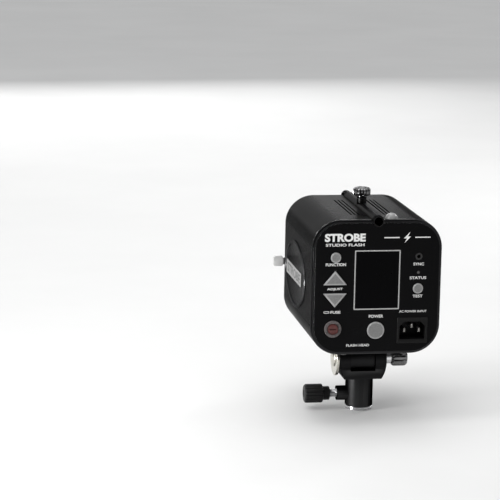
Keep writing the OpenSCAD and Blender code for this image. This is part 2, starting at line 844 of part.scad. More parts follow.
module tilt_knob() {
    low = yoke_w / 2 + 7.8;
    color([0.05, 0.05, 0.05]) difference() {
        grip_x(tilt_knob_r, low, low + 15.2, 0, tilt_z, 14);
        rod_x(bolt_r + fit_gap, low - 1, 43, 0, tilt_z);
    }
}

// ---- stand socket ----

module socket_tube() {
    boss = [-22.2, 7];
    color([0.06, 0.06, 0.065]) difference() {
        union() {
            rod_z(socket_r, 3.5, chin_z, 0, 0);
            rod_z(11.8, 0, 4, 0, 0);
            rod_x(boss[1], boss[0], -8, 0, stand_lock_z);
        }
        rod_z(socket_bore_r, -1, socket_depth, 0, 0);
        rod_x(bolt_r + fit_gap, boss[0] - 1, 0, 0, stand_lock_z);
    }
}

module socket_ring() {
    color([0.85, 0.85, 0.85]) difference() {
        rod_z(socket_r + 0.1, 0, 3.5, 0, 0);
        rod_z(11.85, -1, 5, 0, 0);
    }
}

module stand_knob() {
    color([0.07, 0.07, 0.07]) difference() {
        union() {
            rod_x(6.6, -37, -29.2, 0, stand_lock_z);
            grip_x(stand_knob_r, -53.6, -35.8, 0, stand_lock_z, 16);
        }
        rod_x(bolt_r, -42, -27, 0, stand_lock_z);
    }
}

module stand_screw() {
    color([0.7, 0.7, 0.7]) rod_x(bolt_r, -42, -socket_bore_r - 0.35, 0, stand_lock_z);
}

housing();
rear_panel();
panel_overlay();
display_window();
display_module();
function_button();
up_button();
down_button();
test_button();
power_button();
power_switch();
tact_switches();
control_board();
fuse_holder();
fuse_cap();
fuse();
power_inlet();
inlet_pins();
sync_jack();
status_led();
slave_dome();
umbrella_tube();
umbrella_knob();
umbrella_screw();
badge_left();
badge_right();
front_bezel();
front_screws();
reflector_dish();
release_slide_left();
release_slide_right();
release_cap_left();
release_cap_right();
release_springs_left();
release_springs_right();
flashtube();
flashtube_sockets();
modeling_lamp();
lamp_holder();
lamp_plate();
capacitor_bank();
power_board();
heatsink();
trigger_coil();
fan_frame();
fan_rotor();
base_plate();
tilt_lug();
lug_screws();
rear_screws();
yoke();
tilt_end_plate();
tilt_bolt();
tilt_spacer();
tilt_knob();
socket_tube();
socket_ring();
stand_knob();
stand_screw();
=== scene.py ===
import json
import math

import bmesh
import bpy
from mathutils import Matrix, Vector


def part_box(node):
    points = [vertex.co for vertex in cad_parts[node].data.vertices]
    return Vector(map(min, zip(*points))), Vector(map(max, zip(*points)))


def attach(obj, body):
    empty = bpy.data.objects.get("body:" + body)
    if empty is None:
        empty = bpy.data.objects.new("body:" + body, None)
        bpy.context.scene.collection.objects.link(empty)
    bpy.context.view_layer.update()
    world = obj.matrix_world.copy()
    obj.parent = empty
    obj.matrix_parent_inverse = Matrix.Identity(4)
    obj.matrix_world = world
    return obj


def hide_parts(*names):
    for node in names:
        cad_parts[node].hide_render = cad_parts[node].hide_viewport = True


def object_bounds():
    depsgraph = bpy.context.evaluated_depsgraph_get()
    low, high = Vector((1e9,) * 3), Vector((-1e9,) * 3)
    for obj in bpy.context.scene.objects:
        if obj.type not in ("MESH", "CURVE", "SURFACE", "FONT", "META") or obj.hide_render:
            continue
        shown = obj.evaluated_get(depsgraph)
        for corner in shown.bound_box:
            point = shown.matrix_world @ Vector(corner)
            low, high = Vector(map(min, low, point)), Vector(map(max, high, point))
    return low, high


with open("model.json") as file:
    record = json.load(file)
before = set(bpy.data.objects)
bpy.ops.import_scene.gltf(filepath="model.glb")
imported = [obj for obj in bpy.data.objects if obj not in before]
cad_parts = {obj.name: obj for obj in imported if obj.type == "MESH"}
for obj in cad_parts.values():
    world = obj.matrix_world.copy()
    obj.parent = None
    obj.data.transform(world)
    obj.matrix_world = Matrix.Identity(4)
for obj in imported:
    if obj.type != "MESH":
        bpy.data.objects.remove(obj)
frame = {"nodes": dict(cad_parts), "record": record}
cad_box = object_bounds()
nodes = frame["nodes"]
bodies = {n: b for b, group in frame["record"]["behaviour"]["bodies"].items() for n in group}
slots = {s["node"]: s["material_slot"] for s in frame["record"]["subparts"]}
MM = 0.001


# ---------------------------------------------------------------- camera, floor and light

# Where the camera stands, in metres, and how it is turned, in radians
CAMERA_AT = Vector((-0.399405, -1.820387, 0.511993))
YAW, PITCH, ROLL = 0.15866, 0.19103, 0.01711
# The sky's strength low down and overhead, and how steep a view upwards is, as the sine of its
# angle, where the change from one to the other starts and ends
SKY_LOW, SKY_HIGH = 0.20, 1.02
SKY_SPAN = (0.30, 0.85)
# What most of the lights point at
MIDDLE = (0, 0, 0.15)


def make_camera():
    """A long lens at CAMERA_AT, turned by YAW, PITCH and ROLL."""
    ahead = Vector((math.sin(YAW) * math.cos(PITCH), math.cos(YAW) * math.cos(PITCH), -math.sin(PITCH)))
    right = Vector((math.cos(YAW), -math.sin(YAW), 0))
    up = right.cross(ahead)
    turned_right = math.cos(ROLL) * right + math.sin(ROLL) * up
    turned_up = math.cos(ROLL) * up - math.sin(ROLL) * right
    data = bpy.data.cameras.new("camera")
    data.lens, data.sensor_width = 144, 36
    data.clip_start, data.clip_end = 0.05, 60
    cam = bpy.data.objects.new("camera", data)
    bpy.context.scene.collection.objects.link(cam)
    turn = Matrix((turned_right, turned_up, -ahead)).transposed().to_4x4()
    cam.matrix_world = Matrix.Translation(CAMERA_AT) @ turn
    bpy.context.scene.camera = cam


def area_light(name, at, towards, size, power):
    data = bpy.data.lights.new(name, "AREA")
    data.shape = "RECTANGLE"
    data.size, data.size_y = size
    data.energy = power
    light = bpy.data.objects.new(name, data)
    light.location = at
    light.rotation_euler = (Vector(towards) - Vector(at)).to_track_quat("-Z", "Y").to_euler()
    bpy.context.scene.collection.objects.link(light)


def set_range(node, *limits):
    """Sets a Map Range node's from and to limits."""
    for key, value in zip(("From Min", "From Max", "To Min", "To Max"), limits):
        node.inputs[key].default_value = value


def make_studio():
    """A pale sky, soft lights and a paper floor just under the object."""
    world = bpy.data.worlds.new("studio")
    world.use_nodes = True
    tree = world.node_tree
    place = tree.nodes.new("ShaderNodeTexCoord")
    height = tree.nodes.new("ShaderNodeSeparateXYZ")
    fade = tree.nodes.new("ShaderNodeMapRange")
    set_range(fade, *SKY_SPAN, SKY_LOW, SKY_HIGH)
    tree.links.new(place.outputs["Generated"], height.inputs["Vector"])
    tree.links.new(height.outputs["Z"], fade.inputs["Value"])
    tree.links.new(fade.outputs["Result"], tree.nodes["Background"].inputs["Strength"])
    tree.nodes["Background"].inputs["Color"].default_value = (0.985, 0.99, 1, 1)
    bpy.context.scene.world = world
    bpy.context.scene.view_settings.view_transform = "Standard"
    area_light("top_light", (-0.15, 0.25, 1.9), MIDDLE, (1.3, 1.0), 12)
    area_light("back_card", (-0.25, 2.7, 0.85), (0, 0, 0.2), (2.0, 1.0), 18)
    area_light("left_strip", (-0.58, -0.19, 0.07), (0, 0, 0.04), (0.13, 0.13), 2.6)
    area_light("low_card", (-0.66, 2.6, 0.30), MIDDLE, (0.5, 0.56), 0.9)
    area_light("upper_left", (-0.98, -0.34, 0.98), MIDDLE, (0.4, 0.8), 6)
    area_light("rim_strip", (1.35, 1.2, 1.0), MIDDLE, (0.35, 1.3), 12)

    mesh = bpy.data.meshes.new("floor")
    shape = bmesh.new()
    bmesh.ops.create_grid(shape, x_segments=12, y_segments=12, size=16)
    shape.to_mesh(mesh)
    shape.free()
    floor = bpy.data.objects.new("floor", mesh)
    floor.location.z = cad_box[0].z - 0.2 * MM
    mesh.materials.append(surface("floor_paper", (0.66, 0.66, 0.655), 0.75, spec=0.25,
                                  grain=(900, 0.03), blotch=(3, 0.03, 0.05)))
    bpy.context.scene.collection.objects.link(floor)


# ---------------------------------------------------------------- materials

# How much of the fine noise is mixed into the broad one, and where their sum starts and ends
FINE_SHARE, NOISE_SPAN = 0.35, (0.45, 0.9)
# Pointiness at which an edge starts to be worn, and is fully worn
EDGE_SPAN = (0.52, 0.62)


def surface(name, colour, rough, metal=0.0, spec=0.5, coat=0.0, grain=None, blotch=None,
            wear=0.0, streak=None, clear=0.0, soft=0.0, edge=None):
    """A procedural finish. grain is (size per metre, depth in mm) of the bump, blotch is (size
    per metre, change of colour, change of roughness), streak is (x, y, z) stretch of the grain,
    wear lightens the worn edges, clear and soft let light through, edge dims a dark metal's
    grazing reflection."""
    made = bpy.data.materials.new(name)
    made.use_nodes = True
    tree = made.node_tree
    shader = tree.nodes["Principled BSDF"]
    shader.inputs["Base Color"].default_value = (*colour, 1)
    shader.inputs["Roughness"].default_value = rough
    shader.inputs["Metallic"].default_value = metal
    shader.inputs["Specular IOR Level"].default_value = spec
    shader.inputs["Coat Weight"].default_value = coat
    shader.inputs["Coat Roughness"].default_value = 0.26
    shader.inputs["Transmission Weight"].default_value = clear
    shader.inputs["Subsurface Weight"].default_value = soft
    shader.inputs["Subsurface Scale"].default_value = 0.003
    if edge is not None:
        shader.inputs["Specular Tint"].default_value = (edge, edge, edge, 1)

    def node(kind, **values):
        one = tree.nodes.new(kind)
        for key, value in values.items():
            setattr(one, key, value)
        return one

    place = node("ShaderNodeTexCoord")
    grain_size, grain_depth = grain or (1500, 0.01)
    stretch = node("ShaderNodeMapping")
    stretch.inputs["Scale"].default_value = streak or (1, 1, 1)
    tree.links.new(place.outputs["Object"], stretch.inputs["Vector"])
    fine = node("ShaderNodeTexNoise")
    fine.inputs["Scale"].default_value = grain_size
    fine.inputs["Detail"].default_value = 3
    tree.links.new(stretch.outputs["Vector"], fine.inputs["Vector"])
    bump = node("ShaderNodeBump")
    bump.inputs["Strength"].default_value = 0.6
    bump.inputs["Distance"].default_value = grain_depth * MM
    tree.links.new(fine.outputs["Fac"], bump.inputs["Height"])
    tree.links.new(bump.outputs["Normal"], shader.inputs["Normal"])

    blotch_size, colour_change, rough_change = blotch or (40, 0.08, 0.06)
    broad = node("ShaderNodeTexNoise")
    broad.inputs["Scale"].default_value = blotch_size
    broad.inputs["Detail"].default_value = 5
    broad.inputs["Roughness"].default_value = 0.6
    tree.links.new(place.outputs["Object"], broad.inputs["Vector"])
    both = node("ShaderNodeMath", operation="MULTIPLY_ADD")
    both.inputs[1].default_value = FINE_SHARE
    tree.links.new(fine.outputs["Fac"], both.inputs[0])
    tree.links.new(broad.outputs["Fac"], both.inputs[2])

    def ranged(low, high):
        out = node("ShaderNodeMapRange")
        set_range(out, *NOISE_SPAN, low, high)
        tree.links.new(both.outputs["Value"], out.inputs["Value"])
        return out

    shift = ranged(max(0.02, rough - rough_change), min(1, rough + rough_change))
    tree.links.new(shift.outputs["Result"], shader.inputs["Roughness"])
    mix = node("ShaderNodeMix", data_type="RGBA")
    mix.inputs["A"].default_value = (*[c * (1 - colour_change) for c in colour], 1)
    mix.inputs["B"].default_value = (*[min(1, c * (1 + colour_change)) for c in colour], 1)
    tree.links.new(ranged(0, 1).outputs["Result"], mix.inputs["Factor"])
    last = mix
    if wear:
        geometry = node("ShaderNodeNewGeometry")
        sharp = node("ShaderNodeMapRange")
        set_range(sharp, *EDGE_SPAN, 0, wear)
        tree.links.new(geometry.outputs["Pointiness"], sharp.inputs["Value"])
        worn = node("ShaderNodeMix", data_type="RGBA")
        worn.inputs["B"].default_value = (*[min(1, c * 2.2 + 0.06) for c in colour], 1)
        tree.links.new(mix.outputs["Result"], worn.inputs["A"])
        tree.links.new(sharp.outputs["Result"], worn.inputs["Factor"])
        last = worn
    tree.links.new(last.outputs["Result"], shader.inputs["Base Color"])
    return made


FINISHES = {
    "housing_paint": dict(colour=(0.05, 0.05, 0.052), rough=0.30, metal=1, edge=0.15, coat=0.055,
                          grain=(2600, 0.03), blotch=(14, 0.12, 0.05), wear=0.3),
    "panel_plastic": dict(colour=(0.020, 0.020, 0.021), rough=0.22, metal=1, edge=0.10,
                          grain=(2400, 0.012), blotch=(25, 0.12, 0.05), wear=0.6),
    "panel_gloss": dict(colour=(0.0022, 0.0022, 0.0025), rough=0.24, spec=0.07, grain=(3000, 0.005),
                        blotch=(22, 0.25, 0.06)),
    "display_glass": dict(colour=(0.0012, 0.0012, 0.0015), rough=0.10, spec=0.04,
                          grain=(300, 0.001), blotch=(18, 0.2, 0.04)),
    "button_grey": dict(colour=(0.33, 0.33, 0.328), rough=0.5, spec=0.35, grain=(5200, 0.04),
                        blotch=(160, 0.08, 0.06), wear=0.4),
    "switch_black": dict(colour=(0.02, 0.02, 0.02), rough=0.5, grain=(2600, 0.02)),
    "circuit_board": dict(colour=(0.01, 0.09, 0.045), rough=0.4, grain=(900, 0.03),
                          blotch=(120, 0.3, 0.1)),
    "fuse_grey": dict(colour=(0.078, 0.069, 0.068), rough=0.36, spec=0.4, grain=(2600, 0.05),
                      blotch=(700, 0.85, 0.1), wear=0.8),
    "fuse_brown": dict(colour=(0.060, 0.0105, 0.0085), rough=0.35, spec=0.3, grain=(2600, 0.03),
                       blotch=(600, 0.6, 0.08), wear=0.3),
    "fuse_glass": dict(colour=(0.85, 0.87, 0.86), rough=0.1, clear=0.7),
    "inlet_black": dict(colour=(0.0035, 0.0035, 0.0035), rough=0.42, spec=0.14, grain=(3200, 0.03),
                        blotch=(90, 0.15, 0.06), wear=0.2),
    "contact_metal": dict(colour=(0.24, 0.235, 0.22), rough=0.34, metal=1, grain=(1500, 0.01),
                          streak=(6, 1, 1)),
    "dome_white": dict(colour=(0.26, 0.26, 0.257), rough=0.25, grain=(1200, 0.02),
                       blotch=(180, 0.08, 0.05)),
    "tube_steel": dict(colour=(0.03, 0.03, 0.03), rough=0.26, metal=1, edge=0.2, grain=(1800, 0.01),
                       streak=(1, 0.1, 1)),
    "knob_black": dict(colour=(0.17, 0.17, 0.172), rough=0.13, metal=1, edge=0.4,
                       grain=(2600, 0.01), blotch=(120, 0.5, 0.08), wear=0.3),
    "badge_metal": dict(colour=(0.075, 0.075, 0.077), rough=0.26, metal=1, edge=0.26,
                        grain=(2200, 0.02), blotch=(60, 0.16, 0.06), wear=0.6),
    "badge_band": dict(colour=(0.20, 0.20, 0.197), rough=0.42, grain=(1400, 0.01), streak=(1, 8, 1),
                       blotch=(110, 0.18, 0.1)),
    "bezel_black": dict(colour=(0.03, 0.03, 0.03), rough=0.36, metal=1, edge=0.16,
                        grain=(2400, 0.03), blotch=(30, 0.12, 0.06), wear=0.2),
    "screw_black": dict(colour=(0.07, 0.07, 0.07), rough=0.36, metal=0.9, grain=(1600, 0.01)),
    "reflector_aluminium": dict(colour=(0.90, 0.90, 0.89), rough=0.13, metal=1, grain=(420, 0.03),
                                blotch=(35, 0.02, 0.05)),
    "steel": dict(colour=(0.56, 0.56, 0.57), rough=0.32, metal=1, grain=(1800, 0.01),
                  streak=(1, 1, 0.08), blotch=(80, 0.08, 0.08)),
    "cap_grey": dict(colour=(0.42, 0.42, 0.415), rough=0.48, grain=(2400, 0.03),
                     blotch=(90, 0.08, 0.06), wear=0.3),
    "frosted_glass": dict(colour=(0.92, 0.92, 0.90), rough=0.30, grain=(1500, 0.02),
                          blotch=(90, 0.03, 0.05), clear=0.35, soft=0.15),
    "ceramic": dict(colour=(0.76, 0.73, 0.66), rough=0.6, grain=(1800, 0.04),
                    blotch=(120, 0.06, 0.08)),
    "capacitor_sleeve": dict(colour=(0.012, 0.03, 0.12), rough=0.25, grain=(700, 0.02)),
    "heatsink_aluminium": dict(colour=(0.5, 0.51, 0.53), rough=0.38, metal=1, grain=(900, 0.02),
                               streak=(1, 0.1, 1)),
    "coil_copper": dict(colour=(0.45, 0.18, 0.07), rough=0.35, metal=0.8, grain=(1200, 0.08),
                        streak=(0.05, 0.05, 1)),
    "cast_black": dict(colour=(0.014, 0.014, 0.0145), rough=0.36, metal=1, edge=0.08,
                       grain=(1500, 0.012), blotch=(60, 0.2, 0.06), wear=0.35),
    "bright_plate": dict(colour=(0.62, 0.60, 0.54), rough=0.24, metal=1, grain=(1400, 0.01),
                         streak=(1, 0.15, 1), blotch=(90, 0.10, 0.08)),
    "chrome": dict(colour=(0.74, 0.74, 0.75), rough=0.17, metal=1, grain=(300, 0.004),
                   blotch=(70, 0.04, 0.05)),
    "grip_black": dict(colour=(0.008, 0.008, 0.008), rough=0.42, spec=0.13, grain=(3000, 0.05),
                       blotch=(90, 0.15, 0.08), wear=0.3),
    "button_pad": dict(colour=(0.205, 0.205, 0.203), rough=0.62, spec=0.3, grain=(4200, 0.10),
                       blotch=(900, 0.22, 0.08)),
    "badge_ink": dict(colour=(0.03, 0.03, 0.031), rough=0.45, spec=0.3, grain=(3000, 0.02),
                      blotch=(200, 0.15, 0.06)),
    "led_grey": dict(colour=(0.10, 0.095, 0.092), rough=0.3, grain=(2600, 0.02),
                     blotch=(300, 0.2, 0.08)),
    # Painted highlight: bright metal for the thin strips along the panel's and the sleeve's edges,
    # standing in for their edge highlights
    "painted_highlight_line": dict(colour=(0.85, 0.85, 0.85), rough=0.34, metal=1, edge=0.9, grain=(2200, 0.008),
                     blotch=(45, 0.30, 0.08)),
    "print_white": dict(colour=(0.82, 0.82, 0.81), rough=0.5, grain=(5000, 0.01),
                        blotch=(400, 0.06, 0.05)),
    "print_grey": dict(colour=(0.44, 0.44, 0.435), rough=0.45, grain=(5000, 0.01),
                       blotch=(200, 0.08, 0.05)),
}
finishes = {name: surface(name, **look) for name, look in FINISHES.items()}


# ---------------------------------------------------------------- mesh building

def piece(name, shape, finish, body, node=None, sharp=32, shade=True):
    """Makes an object of a bmesh that rides on a body; node is the CAD node that it stands for,
    and sharp is the bend in degrees from which an edge is shaded sharp."""
    mesh = bpy.data.meshes.new(name)
    bmesh.ops.recalc_face_normals(shape, faces=shape.faces)
    shape.to_mesh(mesh)
    shape.free()
    mesh.polygons.foreach_set("use_smooth", [shade] * len(mesh.polygons))
    mesh.set_sharp_from_angle(angle=math.radians(sharp))
    mesh.materials.append(finishes[finish])
    made = bpy.data.objects.new(name, mesh)
    bpy.context.scene.collection.objects.link(made)
    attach(made, body)
    if node:
        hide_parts(node)
    return made


# Sharpest bend between two faces, in degrees, that softened leaves as it is
SMOOTH_BEND = 28


def softened(node, width, steps=2):
    """A copy of a CAD node with its sharp edges rounded off by width in mm."""
    shape = bmesh.new()
    shape.from_mesh(nodes[node].data)
    bmesh.ops.remove_doubles(shape, verts=shape.verts, dist=2e-6)
    bmesh.ops.dissolve_limit(shape, angle_limit=math.radians(0.6), verts=shape.verts, edges=shape.edges)
    sharp = [e for e in shape.edges
             if len(e.link_faces) == 2 and e.calc_face_angle(0) > math.radians(SMOOTH_BEND)]
    bmesh.ops.bevel(shape, geom=sharp, offset=width * MM, offset_type="OFFSET", segments=steps,
                    profile=0.5, affect="EDGES", clamp_overlap=True, harden_normals=False)
    made = piece(node + "_body", shape, slots[node], bodies[node], node)
    even = made.modifiers.new("even_shading", "WEIGHTED_NORMAL")
    even.keep_sharp = True
    even.weight = 80


# The turn that takes a turned shape's height to each axis
AXES = {"X": Matrix.Rotation(math.pi / 2, 4, "Y"), "-X": Matrix.Rotation(-math.pi / 2, 4, "Y"),
        "Y": Matrix.Rotation(-math.pi / 2, 4, "X"), "Z": Matrix.Identity(4)}


def turned(profile, at, axis="Z", steps=64, radius=None, closed=False):
    """A turned shape from (radius, height) pairs in mm, its height along the axis from at.
    radius(turn, r, h) may change each point's radius."""
    shape = bmesh.new()
    rings = []
    for r, h in profile:
        if r <= 0:
            rings.append([shape.verts.new((0, 0, h * MM))])
            continue
        ring = []
        for i in range(steps):
            a = 2 * math.pi * i / steps
            rr = radius(a, r, h) if radius else r
            ring.append(shape.verts.new((rr * MM * math.cos(a), rr * MM * math.sin(a), h * MM)))
        rings.append(ring)
    for low, high in zip(rings, rings[1:] + (rings[:1] if closed else [])):
        for i in range(steps):
            j = (i + 1) % steps
            corners = [low[i % len(low)], low[j % len(low)], high[j % len(high)], high[i % len(high)]]
            corners = list(dict.fromkeys(corners))
            if len(corners) > 2:
                shape.faces.new(corners)
    if not closed:
        for ring in (rings[0], rings[-1]):
            if len(ring) > 1:
                shape.faces.new(ring)
    shape.transform(Matrix.Translation(Vector(at) * MM) @ AXES[axis])
    return shape


def swept(points, radius, steps):
    """A round rod along a path of points in mm."""
    path = [Vector(p) * MM for p in points]
    shape = bmesh.new()
    rings = []
    side = None
    for i, p in enumerate(path):
        ahead = (path[min(i + 1, len(path) - 1)] - path[max(i - 1, 0)]).normalized()
        if side is None:
            side = ahead.orthogonal().normalized()
        side = (side - ahead * side.dot(ahead)).normalized()
        other = ahead.cross(side)
        ring = [shape.verts.new(p + radius * MM * (math.cos(a) * side + math.sin(a) * other))
                for a in (2 * math.pi * k / steps for k in range(steps))]
        rings.append(ring)
    for low, high in zip(rings, rings[1:]):
        for k in range(steps):
            shape.faces.new((low[k], low[(k + 1) % steps], high[(k + 1) % steps], high[k]))
    shape.faces.new(rings[0])
    shape.faces.new(rings[-1])
    return shape


def plate(outline, y_face, thick, holes=()):
    """A flat printed mark from outlines in X and Z, standing thick proud of y_face, towards -Y."""
    shape = bmesh.new()
    loops = []
    for points in (outline, *holes):
        loops.append([shape.verts.new((x * MM, y_face * MM, z * MM)) for x, z in points])
    edges = []
    for loop in loops:
        edges += [shape.edges.new((loop[i], loop[(i + 1) % len(loop)])) for i in range(len(loop))]
    bmesh.ops.triangle_fill(shape, use_beauty=True, edges=edges)
    raised = bmesh.ops.extrude_face_region(shape, geom=list(shape.faces))
    moved = [v for v in raised["geom"] if isinstance(v, bmesh.types.BMVert)]
    bmesh.ops.translate(shape, verts=moved, vec=(0, -thick * MM, 0))
    return shape


def lofted(rings):
    """A skin through rings of points in mm, closed at its two ends."""
    shape = bmesh.new()
    made = [[shape.verts.new(Vector(p) * MM) for p in ring] for ring in rings]
    for one, two in zip(made, made[1:]):
        for i in range(len(one)):
            j = (i + 1) % len(one)
            shape.faces.new((one[i], one[j], two[j], two[i]))
    shape.faces.new(made[0])
    shape.faces.new(made[-1])
    return shape


def rounded_outline(w, h, r, x=0.0, z=0.0, steps=8):
    """A rectangle about x and z with round corners, from its upper right corner on."""
    points = []
    for k, (sx, sz) in enumerate(((1, 1), (-1, 1), (-1, -1), (1, -1))):
        for i in range(steps + 1):
            a = math.pi / 2 * (k + i / steps)
            points.append((x + sx * (w / 2 - r) + r * math.cos(a),
                           z + sz * (h / 2 - r) + r * math.sin(a)))
    return points


def middle(node):
    """The middle of a node's box, in mm."""
    low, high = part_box(node)
    return (low + high) / 2 / MM


def low_mm(node):
    """A node's lowest corner, in mm."""
    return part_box(node)[0] / MM


def high_mm(node):
    """A node's highest corner, in mm."""
    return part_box(node)[1] / MM


# ---------------------------------------------------------------- housing and panel

# How far the print and the arrow keys' pads stand proud of what they are on, in mm
INK = 0.03

softened("housing", 0.25, 2)
softened("rear_panel", 0.7, 3)
softened("panel_overlay", 0.5, 1)
softened("display_window", 0.15, 2)
softened("front_bezel", 0.5, 2)
softened("front_screws", 0.35, 2)
softened("rear_screws", 0.3, 2)
softened("power_inlet", 0.4, 2)
softened("inlet_pins", 0.45, 2)
softened("fuse_holder", 0.6, 3)
softened("fuse_cap", 0.4, 3)
softened("sync_jack", 0.3, 2)
softened("up_button", 0.55, 3)
softened("down_button", 0.55, 3)


def round_button(node):
    """A button with a dished, gritty top and the flange that keeps it behind the panel."""
    flange = 1.2
    at = middle(node)
    face, inside = low_mm(node).y, high_mm(node).y
    r = (high_mm(node).x - low_mm(node).x) / 2 - flange
    depth = inside - face
    profile = [(0, 0.22), (r * 0.45, 0.19), (r - 1.1, 0.07), (r - 0.75, 0.0), (r - 0.42, 0.0),
               (r - 0.14, 0.1), (r, 0.4), (r, 4.4), (r + flange, 4.5), (r + flange, 5.2),
               (r - 0.4, 5.3), (r - 0.4, depth), (0, depth)]
    piece(node + "_body", turned(profile, (at.x, face, at.z), "Y"), slots[node], bodies[node], node)
    pad = [(0, 0.17), (r * 0.45, 0.14), (r - 1.15, 0.03), (r - 1.15, 0.3), (0, 0.4)]
    piece(node + "_pad", turned(pad, (at.x, face, at.z), "Y", 48), "button_pad", bodies[node])


for each in ("function_button", "test_button", "power_button"):
    round_button(each)

for arrow, way in (("up_button", 1), ("down_button", -1)):
    low, high = low_mm(arrow), high_mm(arrow)
    base_z, tip_z = (low.z, high.z) if way > 0 else (high.z, low.z)
    half, at = (high.x - low.x) / 2, (low.x + high.x) / 2
    pad = [(at - half + 2.9, base_z + way * 1.3), (at + half - 2.9, base_z + way * 1.3),
           (at, tip_z - way * 2.4)]
    piece(arrow + "_pad", plate(pad, low.y, INK), "button_pad", bodies[arrow])

led = middle("status_led")
led_face = low_mm("status_led").y
profile = [(0, 0), (0.6, 0.06), (1.1, 0.3), (1.42, 0.7), (1.5, 1.2), (1.5, 11)]
piece("status_led_body", turned(profile, (led.x, led_face, led.z), "Y", 32), "led_grey", "head",
      "status_led")


# ---------------------------------------------------------------- printing on the panel

# The panel's printed face, in mm
FACE = low_mm("panel_overlay").y


def letters(name, words, x, z, width, height, bold, ink="print_white", turn=None):
    """Raised print centred on x and z in mm, its outlines widened by bold; turn is a matrix that
    takes it from the panel to another face."""
    curve = bpy.data.curves.new(name, "FONT")
    curve.body = words
    curve.offset = bold
    curve.resolution_u = 4
    curve.fill_mode = "FRONT"
    source = bpy.data.objects.new(name, curve)
    bpy.context.scene.collection.objects.link(source)
    flat = bpy.data.meshes.new_from_object(source.evaluated_get(bpy.context.evaluated_depsgraph_get()))
    bpy.data.objects.remove(source)
    shape = bmesh.new()
    shape.from_mesh(flat)
    bpy.data.meshes.remove(flat)
    xs = [v.co.x for v in shape.verts]
    ys = [v.co.y for v in shape.verts]
    across, tall = max(xs) - min(xs), max(ys) - min(ys)
    for v in shape.verts:
        u = (v.co.x - min(xs)) / across - 0.5
        w = (v.co.y - min(ys)) / tall - 0.5
        v.co = Vector((x + u * width, FACE - INK, z + w * height)) * MM
    bmesh.ops.remove_doubles(shape, verts=shape.verts, dist=1e-7)
    raised = bmesh.ops.extrude_face_region(shape, geom=list(shape.faces))
    moved = [v for v in raised["geom"] if isinstance(v, bmesh.types.BMVert)]
    bmesh.ops.translate(shape, verts=moved, vec=(0, INK * MM, 0))
    if turn:
        shape.transform(turn)
    piece(name, shape, ink, "head", shade=False)


letters("word_function", "FUNCTION", -38.9, 153.4, 18.8, 2.7, 0.022)
letters("word_adjust", "ADJUST", -39.2, 130.4, 14.5, 2.7, 0.022)
letters("word_fuse", "FUSE", -38.2, 108.9, 9.4, 2.5, 0.022)
letters("word_power", "POWER", 0.0, 104.5, 13.6, 2.8, 0.022)
letters("word_sync", "SYNC", 38.7, 153.0, 10.0, 2.6, 0.022)
letters("word_status", "STATUS", 38.4, 140.1, 15.5, 2.6, 0.022)
letters("word_test", "TEST", 38.6, 122.9, 9.4, 2.6, 0.022)
letters("word_input", "AC POWER INPUT", 34.6, 108.6, 26.0, 2.0, 0.012)
letters("word_unit", "FLASH HEAD", -16.5, 77.4, 21.5, 2.3, 0.015)
letters("word_strobe", "STROBE", -30.7, 178.4, 38.0, 7.6, 0.045)
letters("word_studio_flash", "STUDIO FLASH", -30.7, 171.6, 36.0, 2.6, 0.022)


# The sleeve's corner radius and how far the face sheet stands in from the sleeve's edge, in mm
BODY_R, SHEET_IN = 27.0, 3
CORNER_STEPS = 20


def painted_highlight_line(name, node, size, corner, notch, face, section):
    """A painted highlight: a thin strip of bright metal round a rounded rectangle in mm, standing in
    for an edge highlight, open for notch to each side of the middle of its top, where the umbrella
    tube passes. section is (inset, depth from face) of its points."""
    wide, tall = size
    low = low_mm(node)
    centre_z = low.z + tall / 2
    loops = []
    for inset, deep in section:
        loop = rounded_outline(wide - 2 * inset, tall - 2 * inset, corner - inset, 0, centre_z,
                               CORNER_STEPS)
        loop = loop[CORNER_STEPS + 1:] + loop[:CORNER_STEPS + 1]
        top = low.z + tall - inset
        loops.append([(x, face + deep, z) for x, z in [(-notch, top), *loop, (notch, top)]])
    piece(name, lofted([list(ring) for ring in zip(*loops)]), "painted_highlight_line", "head",
          sharp=25)


# Painted highlights: thin bright metal strips along the face sheet's edge and along the sleeve's rear
# edge
sheet_box = high_mm("panel_overlay") - low_mm("panel_overlay")
painted_highlight_line("panel_painted_highlight_line", "panel_overlay", (sheet_box.x, sheet_box.z), BODY_R - SHEET_IN, 5.6,
         FACE, ((0.0, 1.0), (0.0, 0.7), (0.7, 0.0), (0.85, 0.1), (0.85, 1.0)))
painted_highlight_line("sleeve_painted_highlight_line", "housing",
         (sheet_box.x + 2 * SHEET_IN, sheet_box.z + 2 * SHEET_IN), BODY_R, 6.0,
         low_mm("housing").y, ((0.0, 1.0), (0.0, 0.55), (0.55, 0.0), (0.7, 0.1), (0.7, 1.0)))

display = middle("display_window")
frame_out, frame_in = (42.7, 55.6), (40.6, 53.5)
border = plate(rounded_outline(*frame_out, 0.8, display.x, display.z),
               low_mm("display_window").y, INK,
               [rounded_outline(*frame_in, 0.4, display.x, display.z)])
piece("display_border", border, "print_grey", "head", shade=False)


def mark(name, outline, holes=()):
    """A white mark printed on the panel."""
    piece(name, plate(outline, FACE, INK, holes), "print_white", "head",
          shade=False)


bolt_x, bolt_mid_z = 27.3, 178.0
bolt = [(2.6, 5.2), (-3.4, -0.9), (-0.5, -0.9), (-2.6, -5.2), (3.4, 0.9), (0.5, 0.9)]
mark("bolt_mark", [(bolt_x + x, bolt_mid_z + z) for x, z in bolt])
line_long = 14.5
for i, half in enumerate((-1, 1)):
    mark(f"mark_line_{i}",
         rounded_outline(line_long, 1.0, 0.45, bolt_x + half * line_long, bolt_mid_z))
fuse_mark_at = (-46.6, 108.9)
mark("fuse_mark", rounded_outline(5.2, 1.9, 0.9, *fuse_mark_at),
     [rounded_outline(4.4, 1.1, 0.5, *fuse_mark_at)])


# ---------------------------------------------------------------- top of the head

